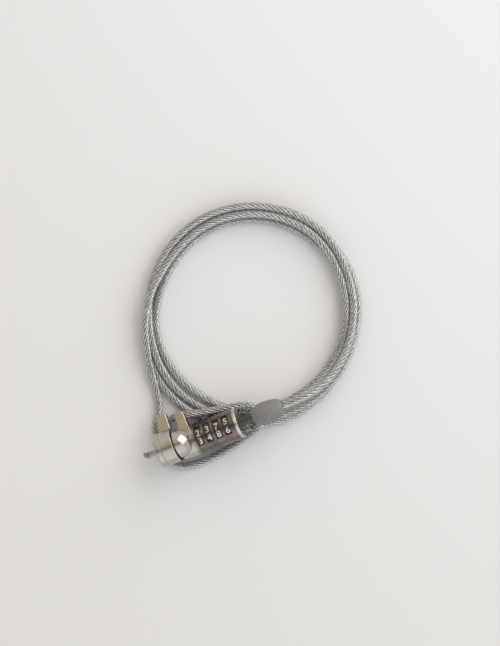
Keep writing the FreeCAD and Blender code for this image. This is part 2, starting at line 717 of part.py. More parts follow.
roll = FreeCAD.Rotation(V(1, 0, 0), -WINDOW_ROLL_DEGREES)
tilt = FreeCAD.Rotation(V(0, 1, 0), -TAIL_RISE_DEGREES)
lie = FreeCAD.Placement(V(0, 0, 0), tilt * roll)
for shape in made.values():
    shape.Placement = lie.multiply(shape.Placement)
bounds = FreeCAD.BoundBox()
for name, shape in made.items():
    if name not in ON_THE_CORD:
        bounds.add(shape.optimalBoundingBox(False))
settle = V(-bounds.Center.x, -bounds.Center.y, -bounds.ZMin)
for shape in made.values():
    shape.translate(settle)


def on_lock(x, y=0.0, z=0.0):
    """A point of the lock's own frame, in the row frame."""
    return lie.multVec(V(x, y, z)) + settle


lead_start = on_lock(NECK_REAR + FIT)
lead_turn = on_lock(SLEEVE_REAR + 2 * CABLE_DIAMETER)
made["cable_lead"] = cable_tube("cable_lead", [tuple(lead_start), tuple(lead_turn)] + LEAD_ROUTE)
crimp_in = (FERRULE_X - FERRULE_SPACING / 2, FERRULE_TOP_Y, FERRULE_Z)
crimp_end = (FERRULE_X + FERRULE_SPACING / 2, FERRULE_TOP_Y - FERRULE_LENGTH, FERRULE_Z)
made["cable_tail"] = cable_tube("cable_tail", TAIL_ROUTE + [crimp_in])
made["cable_eye"] = cable_tube("cable_eye", [crimp_in] + EYE_ROUTE + [crimp_end])
made["eye_ferrule"] = eye_ferrule()
lock_seat = rod(0, TUBE_LENGTH, TUBE_RADIUS + RUNNING)
lock_seat.Placement = lie
lock_seat.translate(settle)
made["cable_coil"] = cable_coil(lock_seat)

os.makedirs("parts", exist_ok=True)
for name, shape in made.items():
    shape.exportStep(f"parts/{name}.step")
print("origin of the tube's axis at the front face:", on_lock(0))
print("lock axis:", lie.Rotation.multVec(LOCAL_AXIS), "window direction:", lie.Rotation.multVec(V(0, 0, 1)))
print("head axis point:", on_lock(0, 0, HEAD_RISE), "dial axis point:", on_lock(0, 0, MECHANISM_RISE))
print("sleeve end:", on_lock(SLEEVE_REAR), "bounds:", bounds)
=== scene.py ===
"""Looks of the laptop cable lock: combination head with T-bar, turning neck and sleeve, and coiled steel cable."""

import json
import logging
import math
from dataclasses import dataclass, field
from enum import Enum

import bmesh
import bpy
from mathutils import Matrix, Vector

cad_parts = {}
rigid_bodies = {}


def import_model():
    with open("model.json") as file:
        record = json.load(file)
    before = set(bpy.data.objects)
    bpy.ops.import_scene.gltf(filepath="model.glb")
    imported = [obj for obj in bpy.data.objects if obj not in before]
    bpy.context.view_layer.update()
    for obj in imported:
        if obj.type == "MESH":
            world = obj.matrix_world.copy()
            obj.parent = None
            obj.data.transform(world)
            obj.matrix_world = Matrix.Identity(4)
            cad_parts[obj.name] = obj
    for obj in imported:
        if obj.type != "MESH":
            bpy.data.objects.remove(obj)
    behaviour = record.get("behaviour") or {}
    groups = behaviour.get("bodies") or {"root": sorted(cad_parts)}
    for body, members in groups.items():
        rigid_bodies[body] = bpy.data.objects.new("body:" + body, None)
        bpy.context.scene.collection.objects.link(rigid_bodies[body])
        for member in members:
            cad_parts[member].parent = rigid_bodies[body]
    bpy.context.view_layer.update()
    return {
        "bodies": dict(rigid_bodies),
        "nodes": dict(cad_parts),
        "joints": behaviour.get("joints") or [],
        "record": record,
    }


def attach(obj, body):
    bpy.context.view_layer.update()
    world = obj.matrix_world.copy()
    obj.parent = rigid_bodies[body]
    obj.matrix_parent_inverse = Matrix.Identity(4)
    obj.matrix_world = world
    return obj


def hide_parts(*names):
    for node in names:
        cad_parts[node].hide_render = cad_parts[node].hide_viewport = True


LOG = logging.getLogger("cable_lock")
MM = 0.001

# Cable routes, the same control points as the solids follow, in metres
LEAD_ROUTE = [
    (0.0631, -0.0042, 0.0198),
    (0.0751, 0.0008, 0.0160),
    (0.0851, 0.0088, 0.0120),
    (0.0916, 0.0178, 0.0086),
]
TAIL_ROUTE = [
    (-0.0085, 0.0602, 0.0082),
    (-0.0119, 0.0484, 0.0070),
    (-0.0146, 0.0368, 0.0046),
    (-0.0154, 0.0256, 0.0025),
    (-0.0171, 0.0168, 0.0023),
    (-0.0238, 0.0078, 0.0025),
    (-0.0238, 0.0024, 0.0025),
]
EYE_ROUTE = [
    (-0.0238, -0.0110, 0.0025),
    (-0.0183, -0.0164, 0.0023),
    (-0.0093, -0.0180, 0.0023),
    (0.0028, -0.0176, 0.0026),
    (0.0142, -0.0154, 0.0046),
    (0.0258, -0.0129, 0.0066),
    (0.0302, -0.0085, 0.0068),
    (0.0302, -0.0023, 0.0068),
    (0.0258, 0.0021, 0.0068),
    (0.0142, 0.0044, 0.0068),
    (0.0022, 0.0066, 0.0069),
    (-0.0077, 0.0094, 0.0058),
    (-0.0152, 0.0094, 0.0032),
    (-0.0194, 0.0053, 0.0025),
    (-0.0194, -0.0076, 0.0025),
]

# The coil's middle, in millimetres
COIL_CENTRE = (46.8, 48.4)

# How the turns lie: angle from +X round the coil's middle in degrees, radius and height in millimetres
WINDING = [
    (325.7, 54.3, 8.4),
    (358, 53.2, 7.2),
    (388, 54.2, 6.6),
    (418, 53.0, 6.6),
    (458, 52.8, 6.6),
    (488, 52.9, 6.5),
    (508, 53.3, 6.4),
    (528, 53.7, 6.1),
    (541, 55.3, 5.6),
    (554, 57.1, 3.4),
    (570, 58.4, 2.3),
    (608, 59.2, 2.3),
    (638, 58.7, 3.6),
    (668, 57.1, 6.4),
    (685, 56.2, 4.8),
    (718, 55.4, 2.3),
    (748, 52.3, 2.3),
    (778, 50.8, 2.3),
    (818, 50.6, 2.3),
    (848, 51.0, 2.3),
    (868, 52.5, 2.3),
    (888, 55.4, 2.3),
    (901, 57.9, 2.3),
    (914, 61.3, 2.3),
    (928, 63.0, 2.3),
    (943, 63.4, 2.3),
    (968, 62.6, 2.3),
    (998, 60.3, 2.3),
    (1028, 56.1, 2.3),
    (1045, 52.4, 2.3),
    (1078, 50.0, 2.3),
    (1108, 47.7, 2.3),
    (1138, 46.4, 2.3),
    (1178, 46.2, 2.3),
    (1208, 46.7, 2.3),
    (1228, 48.0, 2.3),
    (1248, 51.0, 2.3),
    (1274, 52.4, 2.3),
    (1314, 54.1, 2.3),
    (1328, 54.7, 2.3),
    (1358, 52.2, 2.5),
    (1388, 51.0, 4.6),
    (1405, 50.1, 6.5),
    (1438, 49.2, 6.7),
    (1468, 49.8, 6.6),
    (1498, 48.7, 6.6),
    (1538, 48.4, 6.6),
    (1568, 49.0, 6.8),
    (1583, 50.8, 8.4),
    (1596, 54.0, 9.8),
    (1607.7, 56.5, 8.2),
]

# Angle between two control points of the turns, in degrees
WINDING_STEP = 15.0

# Places on the lock's axis, in millimetres behind the case's front face
# The painted dark reflection on the tube fades in between these two places
PAINTED_REFLECTION_FADE = (7.5, 10.0)
SWIVEL_MARK = 40.0
NECK_REAR = 46.92
LEAD_BEND = 66.6

# Numbers on each dial
DIGIT_COUNT = 10

# Turn of the camera about its line of sight, in degrees
CAMERA_ROLL = 21.6

# The view's middle, right of and up from the coil's middle, and its height, in metres
VIEW_MIDDLE = (-0.0005, -0.0084)
LOOK_HEIGHT = 0.004

# Width of the camera's sensor, in millimetres
SENSOR_WIDTH = 36.0

# Sockets of a Mix node that is set to colours
MIX_FACTOR, MIX_FIRST, MIX_SECOND, MIX_RESULT = 0, 6, 7, 2

# Vertices closer than this are one, in metres
MERGE = 1e-6

# Slope under which a corner counts as lying on a parting line
LINE_SLOPE = 0.02

# Share of a rounding's radius that its middle stands back from the sharp corner on each side
CORNER_SHARE = 0.3

# Strand radii that go into one length of its UV map
UV_STRETCH = 8


class Slot(Enum):
    """Material slots of the record."""

    NICKEL = "nickel"
    STEEL = "steel"
    SPRING = "spring_steel"
    BRASS = "brass_inner"
    DIAL = "dial_black"
    CRIMP = "crimp"
    SLEEVE = "sleeve_grey"
    CABLE = "cable_sheath"


class Body(Enum):
    """Bodies that the pieces made here ride on, beside the dials."""

    CASE = "lock_case"
    SWIVEL = "swivel"


class Tree:
    """A small builder for node materials."""

    def __init__(self, name: str) -> None:
        """Starts a material with one Principled shader.

        Args:
            name: The material's name.
        """
        self.material = bpy.data.materials.new(name)
        self.material.use_nodes = True
        self.nodes = self.material.node_tree.nodes
        self.links = self.material.node_tree.links
        self.shader = self.nodes["Principled BSDF"]
        self.place = self.nodes.new("ShaderNodeTexCoord").outputs["Object"]

    def set(self, **values: float | tuple) -> "Tree":
        """Sets constant shader inputs.

        Args:
            **values: Input values, named with underscores for spaces.

        Returns:
            The builder itself.
        """
        for key, value in values.items():
            self.shader.inputs[key.replace("_", " ")].default_value = value
        return self

    def noise(self, scale: float, detail: float = 3.0, stretch: tuple = (1, 1, 1)) -> bpy.types.NodeSocket:
        """Noise on Object coordinates.

        Args:
            scale: Cycles per metre.
            detail: Octaves.
            stretch: Scale of each axis before the noise.

        Returns:
            The noise's factor.
        """
        mapping = self.nodes.new("ShaderNodeMapping")
        mapping.inputs["Scale"].default_value = stretch
        self.links.new(self.place, mapping.inputs["Vector"])
        node = self.nodes.new("ShaderNodeTexNoise")
        node.inputs["Scale"].default_value = scale
        node.inputs["Detail"].default_value = detail
        self.links.new(mapping.outputs["Vector"], node.inputs["Vector"])
        return node.outputs["Fac"]

    def ramp(self, source: bpy.types.NodeSocket, stops: list[tuple[float, tuple]]) -> bpy.types.NodeSocket:
        """A colour ramp.

        Args:
            source: The factor.
            stops: Position and colour of each stop.

        Returns:
            The ramp's colour.
        """
        node = self.nodes.new("ShaderNodeValToRGB")
        elements = node.color_ramp.elements
        while len(elements) < len(stops):
            elements.new(0.5)
        for element, (position, colour) in zip(elements, stops):
            element.position = position
            element.color = (*colour, 1.0)
        self.links.new(source, node.inputs["Fac"])
        return node.outputs["Color"]

    def span(
        self, source: bpy.types.NodeSocket, low: float, high: float, near: float = 0.3, far: float = 0.7
    ) -> bpy.types.NodeSocket:
        """Maps a factor to a range.

        Args:
            source: The factor.
            low: Result at near.
            high: Result at far.
            near: Factor that gives low.
            far: Factor that gives high.

        Returns:
            The mapped value.
        """
        node = self.nodes.new("ShaderNodeMapRange")
        node.inputs["From Min"].default_value = near
        node.inputs["From Max"].default_value = far
        node.inputs["To Min"].default_value = low
        node.inputs["To Max"].default_value = high
        self.links.new(source, node.inputs["Value"])
        return node.outputs["Result"]

    def reach(self, direction: Vector, near: float, far: float) -> bpy.types.NodeSocket:
        """How far a place lies along a direction, from 0 at near to 1 at far.

        Args:
            direction: Unit vector in the row frame.
            near: Distance in metres that gives 0.
            far: Distance in metres that gives 1.

        Returns:
            The factor.
        """
        node = self.nodes.new("ShaderNodeVectorMath")
        node.operation = "DOT_PRODUCT"
        node.inputs[1].default_value = tuple(direction)
        self.links.new(self.place, node.inputs[0])
        return self.span(node.outputs["Value"], 0.0, 1.0, near, far)

    def blend(
        self, factor: bpy.types.NodeSocket, first: bpy.types.NodeSocket, second: bpy.types.NodeSocket
    ) -> bpy.types.NodeSocket:
        """A colour between two colours.

        Args:
            factor: 0 for the first, 1 for the second.
            first: One colour.
            second: The other colour.

        Returns:
            The blended colour.
        """
        node = self.nodes.new("ShaderNodeMix")
        node.data_type = "RGBA"
        self.links.new(factor, node.inputs[MIX_FACTOR])
        self.links.new(first, node.inputs[MIX_FIRST])
        self.links.new(second, node.inputs[MIX_SECOND])
        return node.outputs[MIX_RESULT]

    def drive(self, socket: str, source: bpy.types.NodeSocket) -> "Tree":
        """Links a source to a shader input.

        Args:
            socket: The input's name.
            source: The source.

        Returns:
            The builder itself.
        """
        self.links.new(source, self.shader.inputs[socket])
        return self

    def bump(self, height: bpy.types.NodeSocket, strength: float, distance: float) -> "Tree":
        """Adds relief to the shader's normal.

        Args:
            height: The relief's factor.
            strength: Bump strength.
            distance: Relief in metres.

        Returns:
            The builder itself.
        """
        node = self.nodes.new("ShaderNodeBump")
        node.inputs["Strength"].default_value = strength
        node.inputs["Distance"].default_value = distance
        previous = self.shader.inputs["Normal"]
        if previous.is_linked:
            self.links.new(previous.links[0].from_socket, node.inputs["Normal"])
        self.links.new(height, node.inputs["Height"])
        self.links.new(node.outputs["Normal"], previous)
        return self


@dataclass(frozen=True)
class Finish:
    """What all the finishes have.

    Attributes:
        name: Material name.
        tone: Main colour.
        second: Colour of the marks or of the worn places.
        gloss: Lowest roughness.
        haze: Highest roughness.
    """

    name: str
    tone: tuple
    second: tuple
    gloss: float = 0.3
    haze: float = 0.5


@dataclass(frozen=True)
class PlatedMetal(Finish):
    """Polished plating over a casting: slight waviness, a clouded colour, rubbing marks and scratches.

    Attributes:
        waves: Strength of the casting's waviness.
        cloud_scale: Clouds per metre in the colour.
        rub_scale: Rubbing marks per metre.
        scratch_scale: Scratches per metre.
        wave_scale: Waves per metre.
    """

    gloss: float = 0.14
    haze: float = 0.3
    waves: float = 0.12
    cloud_scale: float = 260.0
    rub_scale: float = 2600.0
    scratch_scale: float = 900.0
    wave_scale: float = 90.0

    def colour(self, tree: Tree) -> bpy.types.NodeSocket:
        """The plating's clouded colour.

        Args:
            tree: The material's builder.

        Returns:
            The colour.
        """
        return tree.ramp(tree.noise(self.cloud_scale, detail=4.0), [(0.35, self.tone), (0.75, self.second)])

    def material(self) -> bpy.types.Material:
        """Builds the node material.

        Returns:
            The material.
        """
        tree = Tree(self.name).set(Metallic=1.0)
        rubbed = tree.noise(self.rub_scale, detail=2.0, stretch=(1.0, 1.0, 0.15))
        scratched = tree.noise(self.scratch_scale, detail=1.0, stretch=(6.0, 0.4, 1.0))
        tree.drive("Base Color", self.colour(tree))
        tree.drive("Roughness", tree.span(rubbed, self.gloss, self.haze))
        tree.bump(tree.noise(self.wave_scale, detail=1.0), strength=self.waves, distance=0.2 * MM)
        tree.bump(rubbed, strength=0.05, distance=0.02 * MM)
        tree.bump(scratched, strength=0.04, distance=0.03 * MM)
        return tree.material


@dataclass(frozen=True)
class TwoTonePlating(PlatedMetal):
    """Plating with a painted dark reflection: darker and browner on the tube than on the shoulder in front of it,
    standing in for the dark reflections that the tube shows.

    Attributes:
        barrel: Painted dark reflection colour of the tube.
        barrel_worn: Painted dark reflection colour of the tube where it is rubbed.
        direction: Unit vector to the tail.
        change: Distances along it where the painted dark reflection starts and ends to fade in, in metres.
    """

    # Painted reflection: dark tones that stand in for the dark reflections on the tube
    barrel: tuple = (0.13, 0.106, 0.094)
    barrel_worn: tuple = (0.23, 0.198, 0.176)
    direction: tuple = (1.0, 0.0, 0.0)
    change: tuple = (-0.006, -0.003)

    def colour(self, tree: Tree) -> bpy.types.NodeSocket:
        """The plating's clouded colour, from the shoulder's tone to the painted dark reflection on the tube.

        Args:
            tree: The material's builder.

        Returns:
            The colour.
        """
        cloud = tree.noise(self.cloud_scale, detail=4.0)
        shoulder = tree.ramp(cloud, [(0.35, self.tone), (0.75, self.second)])
        barrel = tree.ramp(cloud, [(0.35, self.barrel), (0.75, self.barrel_worn)])
        # Painted reflection: fades from the shoulder's tone to the dark tones along the lock
        return tree.blend(tree.reach(self.direction, *self.change), shoulder, barrel)


@dataclass(frozen=True)
class TurnedMetal(Finish):
    """Machined steel or brass with fine tool marks.

    Attributes:
        mark_scale: Tool marks per metre.
    """

    gloss: float = 0.22
    haze: float = 0.45
    mark_scale: float = 1500.0

    def material(self) -> bpy.types.Material:
        """Builds the node material.

        Returns:
            The material.
        """
        tree = Tree(self.name).set(Metallic=1.0)
        marks = tree.noise(self.mark_scale, detail=3.0, stretch=(4.0, 1.0, 1.0))
        tree.drive("Base Color", tree.ramp(marks, [(0.3, self.second), (0.6, self.tone)]))
        tree.drive("Roughness", tree.span(marks, self.haze, self.gloss))
        tree.bump(marks, strength=0.15, distance=0.04 * MM)
        return tree.material


@dataclass(frozen=True)
class MouldedPlastic(Finish):
    """Matt moulded plastic with a fine spark-eroded grain.

    Attributes:
        grain_scale: Grains per metre.
        scuff_scale: Scuffs per metre.
    """

    gloss: float = 0.47
    haze: float = 0.65
    grain_scale: float = 5200.0
    scuff_scale: float = 330.0

    def material(self) -> bpy.types.Material:
        """Builds the node material.

        Returns:
            The material.
        """
        tree = Tree(self.name)
        grain = tree.noise(self.grain_scale, detail=2.0)
        scuffs = tree.noise(self.scuff_scale, detail=4.0)
        tree.drive("Base Color", tree.ramp(scuffs, [(0.4, self.tone), (0.8, self.second)]))
        tree.drive("Roughness", tree.span(scuffs, self.gloss, self.haze))
        tree.bump(grain, strength=0.35, distance=0.05 * MM)
        return tree.material


@dataclass(frozen=True)
class Enamel(Finish):
    """Satin black paint with light wear, for the dials' ground.

    Attributes:
        wear_scale: Worn spots per metre.
    """

    wear_scale: float = 1400.0

    def material(self) -> bpy.types.Material:
        """Builds the node material.

        Returns:
            The material.
        """
        tree = Tree(self.name)
        wear = tree.noise(self.wear_scale, detail=5.0)
        tree.drive("Base Color", tree.ramp(wear, [(0.5, self.tone), (0.78, self.second)]))
        tree.drive("Roughness", tree.span(wear, self.gloss, self.haze))
        tree.bump(wear, strength=0.12, distance=0.03 * MM)
        return tree.material


@dataclass(frozen=True)
class ClearSheath(Finish):
    """Clear soft sheath over the steel rope.

    Attributes:
        cover: How much of the plastic is seen.
        index: Refractive index.
        scuff_scale: Scuffs per metre.
    """

    gloss: float = 0.06
    haze: float = 0.2
    cover: float = 0.15
    index: float = 1.46
    scuff_scale: float = 700.0

    def material(self) -> bpy.types.Material:
        """Builds the node material.

        Returns:
            The material.
        """
        tree = Tree(self.name).set(Alpha=self.cover, IOR=self.index, Specular_IOR_Level=1.0)
        scuffs = tree.noise(self.scuff_scale, detail=4.0)
        tree.drive("Base Color", tree.ramp(scuffs, [(0.4, self.tone), (0.8, self.second)]))
        tree.drive("Roughness", tree.span(scuffs, self.gloss, self.haze))
        tree.bump(scuffs, strength=0.08, distance=0.05 * MM)
        return tree.material


@dataclass(frozen=True)
class RopeSteel(Finish):
    """Galvanised strands of the rope, with the fine wires of each strand.

    Attributes:
        zinc_scale: Clouds per metre in the zinc.
        wire_scale: Scale of the wires on the UV map.
        wire_lay: Slant of the wires on the UV map, in radians.
    """

    gloss: float = 0.2
    haze: float = 0.38
    zinc_scale: float = 900.0
    wire_scale: float = 2.2
    wire_lay: float = 0.5

    def material(self) -> bpy.types.Material:
        """Builds the node material.

        Returns:
            The material.
        """
        tree = Tree(self.name).set(Metallic=0.95)
        uv = tree.nodes.new("ShaderNodeTexCoord").outputs["UV"]
        mapping = tree.nodes.new("ShaderNodeMapping")
        mapping.inputs["Rotation"].default_value = (0.0, 0.0, self.wire_lay)
        tree.links.new(uv, mapping.inputs["Vector"])
        wires = tree.nodes.new("ShaderNodeTexWave")
        wires.inputs["Scale"].default_value = self.wire_scale
        wires.inputs["Distortion"].default_value = 0.3
        tree.links.new(mapping.outputs["Vector"], wires.inputs["Vector"])
        zinc = tree.noise(self.zinc_scale, detail=4.0)
        tree.drive("Base Color", tree.ramp(zinc, [(0.3, self.second), (0.6, self.tone)]))
        tree.drive("Roughness", tree.span(zinc, self.gloss, self.haze))
        tree.bump(wires.outputs["Fac"], strength=0.5, distance=0.06 * MM)
        return tree.material


@dataclass
class Finishes:
    """All the finishes of the lock, made once, each under the name of what it covers.

    Attributes:
        axes: The lock's axes, for the painted dark reflection that changes along the lock.
    """

    axes: "LockAxes"
    plating: bpy.types.Material = field(init=False)
    barrel: bpy.types.Material = field(init=False)
    bright: bpy.types.Material = field(init=False)
    steel: bpy.types.Material = field(init=False)
    neck: bpy.types.Material = field(init=False)
    spring: bpy.types.Material = field(init=False)
    brass: bpy.types.Material = field(init=False)
    black: bpy.types.Material = field(init=False)
    number: bpy.types.Material = field(init=False)
    crimp: bpy.types.Material = field(init=False)
    sleeve: bpy.types.Material = field(init=False)
    sheath: bpy.types.Material = field(init=False)
    rope: bpy.types.Material = field(init=False)

    def __post_init__(self) -> None:
        """Builds the materials."""
        tan, rubbed = (0.465, 0.432, 0.392), (0.54, 0.515, 0.478)
        front = self.axes.start.dot(self.axes.along)
        self.plating = PlatedMetal("warm_nickel", tan, rubbed).material()
        # The housing's plating with a painted dark reflection: darker and browner behind the shoulder, standing in
        # for the tube's dark reflections
        self.barrel = TwoTonePlating(
            "warm_nickel_painted_dark_reflection",
            tan,
            rubbed,
            direction=tuple(self.axes.along),
            change=tuple(front + place * MM for place in PAINTED_REFLECTION_FADE),
        ).material()
        self.bright = PlatedMetal(
            "bright_nickel", (0.66, 0.64, 0.61), (0.74, 0.72, 0.7), gloss=0.12, haze=0.24
        ).material()
        self.steel = TurnedMetal("turned_steel", (0.42, 0.39, 0.36), (0.24, 0.22, 0.2)).material()
        # Steel of the neck, darkened with painted shade for the shade it lies in between the case and the sleeve
        self.neck = TurnedMetal(
            "neck_steel_painted_shade", (0.12, 0.118, 0.115), (0.06, 0.06, 0.058), gloss=0.3, haze=0.5
        ).material()
        self.spring = TurnedMetal(
            "drawn_wire", (0.45, 0.45, 0.46), (0.3, 0.3, 0.31), gloss=0.18, haze=0.3
        ).material()
        self.brass = TurnedMetal("turned_brass", (0.72, 0.56, 0.28), (0.5, 0.36, 0.15)).material()
        self.black = Enamel("dial_enamel", (0.035, 0.03, 0.028), (0.12, 0.11, 0.1)).material()
        self.number = PlatedMetal(
            "number_metal", (0.8, 0.79, 0.77), (0.56, 0.54, 0.52), gloss=0.25, haze=0.45, waves=0.05
        ).material()
        self.crimp = TurnedMetal(
            "pressed_aluminium", (0.6, 0.6, 0.61), (0.42, 0.42, 0.43), gloss=0.25, haze=0.42
        ).material()
        self.sleeve = MouldedPlastic("sleeve_grey", (0.19, 0.19, 0.19), (0.235, 0.235, 0.235)).material()
        self.sheath = ClearSheath("clear_sheath", (0.8, 0.82, 0.82), (0.72, 0.738, 0.738)).material()
        self.rope = RopeSteel("rope_strands", (0.62, 0.635, 0.63), (0.235, 0.242, 0.24)).material()

    def for_slot(self, slot: str) -> bpy.types.Material:
        """The finish of a record slot.

        Args:
            slot: The slot's name in the record.

        Returns:
            Its material.
        """
        return {
            Slot.NICKEL.value: self.plating,
            Slot.STEEL.value: self.steel,
            Slot.SPRING.value: self.spring,
            Slot.BRASS.value: self.brass,
            Slot.DIAL.value: self.black,
            Slot.CRIMP.value: self.crimp,
            Slot.SLEEVE.value: self.sleeve,
            Slot.CABLE.value: self.sheath,
        }[slot]


@dataclass(frozen=True)
class LockAxes:
    """The lock's own directions and places in the row frame, read from the joints.

    Attributes:
        along: Unit vector to the tail.
        window: Unit vector out of the dial windows.
        start: The tube's axis at the case's front face.
        dials: Dial centres.
    """

    along: Vector
    window: Vector
    start: Vector
    dials: tuple

    @classmethod
    def from_joints(cls, joints: list[dict]) -> "LockAxes":
        """Reads the axes.

        Args:
            joints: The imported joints.

        Returns:
            The axes.
        """
        by_name = {joint["name"]: joint for joint in joints}
        along = Vector(by_name["knob_turn"]["axis"]).normalized()
        tail = Vector(by_name["cable_swivel"]["pos_m"])
        offset = Vector(by_name["knob_turn"]["pos_m"]) - tail
        window = (offset - along * offset.dot(along)).normalized()
        dials = tuple(Vector(by_name[f"dial_{n}_spin"]["pos_m"]) for n in range(1, 5))
        return cls(along, window, tail - along * SWIVEL_MARK * MM, dials)

    @property
    def side(self) -> Vector:
        """Unit vector towards the finger lugs."""
        return self.window.cross(self.along)

    def matrix(self, origin: Vector) -> Matrix:
        """A matrix from a piece's own x (along), y (side) and z (window) to the row frame.

        Args:
            origin: Where its zero lies.

        Returns:
            The matrix.
        """
        turn = Matrix((self.along, self.side, self.window)).transposed()
        return Matrix.Translation(origin) @ turn.to_4x4()


def mesh_piece(
    name: str, mesh: bpy.types.Mesh, material: bpy.types.Material, smooth: float = 40.0
) -> bpy.types.Object:
    """Adds a mesh to the scene as a finished piece.

    Args:
        name: Piece name.
        mesh: Its mesh, already in place.
        material: Its finish.
        smooth: Angle in degrees under which faces shade smoothly.

    Returns:
        The new object.
    """
    obj = bpy.data.objects.new(name, mesh)
    bpy.context.scene.collection.objects.link(obj)
    mesh.materials.clear()
    mesh.materials.append(material)
    mesh.shade_smooth()
    mesh.set_sharp_from_angle(angle=math.radians(smooth))
    return obj


def evaluated_mesh(curve: bpy.types.Curve) -> bpy.types.Mesh:
    """The mesh that a curve or a text gives.

    Args:
        curve: The curve or the text.

    Returns:
        A new mesh.
    """
    probe = bpy.data.objects.new("probe", curve)
    bpy.context.scene.collection.objects.link(probe)
    bpy.context.view_layer.update()
    mesh = bpy.data.meshes.new_from_object(probe.evaluated_get(bpy.context.evaluated_depsgraph_get()))
    bpy.data.objects.remove(probe)
    return mesh


def spun_section(section: list[tuple], steps: int) -> bmesh.types.BMesh:
    """A closed section spun once round the lock's axis.

    Args:
        section: Place along the lock and radius of each corner in millimetres, the first one again at the end.
        steps: Facets of the full turn.

    Returns:
        The mesh, with x along the lock.
    """
    work = bmesh.new()
    corners = [work.verts.new((x * MM, 0.0, r * MM)) for x, r in section[:-1]]
    for a, b in zip(corners, corners[1:] + corners[:1]):
        work.edges.new((a, b))
    bmesh.ops.spin(
        work,
        geom=work.verts[:] + work.edges[:],
        axis=(1.0, 0.0, 0.0),
        cent=(0.0, 0.0, 0.0),
        angle=2 * math.pi,
        steps=steps,
        use_merge=True,
    )
    bmesh.ops.remove_doubles(work, verts=work.verts, dist=MERGE)
    return work


def placed_mesh(name: str, work: bmesh.types.BMesh, matrix: Matrix) -> bpy.types.Mesh:
    """Moves a mesh from the lock's own directions to its place in the row frame.

    Args:
        name: Mesh name.
        work: The mesh, which is freed.
        matrix: The move.

    Returns:
        The mesh in its place.
    """
    bmesh.ops.recalc_face_normals(work, faces=work.faces)
    bmesh.ops.transform(work, matrix=matrix, verts=work.verts)
    mesh = bpy.data.meshes.new(name)
    work.to_mesh(mesh)
    work.free()
    return mesh


def smooth_between(keys: list[tuple], angle: float) -> tuple[float, float]:
    """Radius and height at an angle, on a smooth line through the key values.

    Args:
        keys: Angle, radius and height of each key.
        angle: The angle asked for.

    Returns:
        The radius and the height.
    """
    index = max(i for i in range(len(keys) - 1) if keys[i][0] <= angle)
    a, b = keys[index], keys[index + 1]
    before = keys[max(index - 1, 0)]
    after = keys[min(index + 2, len(keys) - 1)]
    width = b[0] - a[0]
    t = (angle - a[0]) / width
    result = []
    for k in (1, 2):
        start = (b[k] - before[k]) / (b[0] - before[0]) * width
        end = (after[k] - a[k]) / (after[0] - a[0]) * width
        value = (2 * t**3 - 3 * t**2 + 1) * a[k] + (t**3 - 2 * t**2 + t) * start
        value += (3 * t**2 - 2 * t**3) * b[k] + (t**3 - t**2) * end
        result.append(value)
    return result[0], result[1]


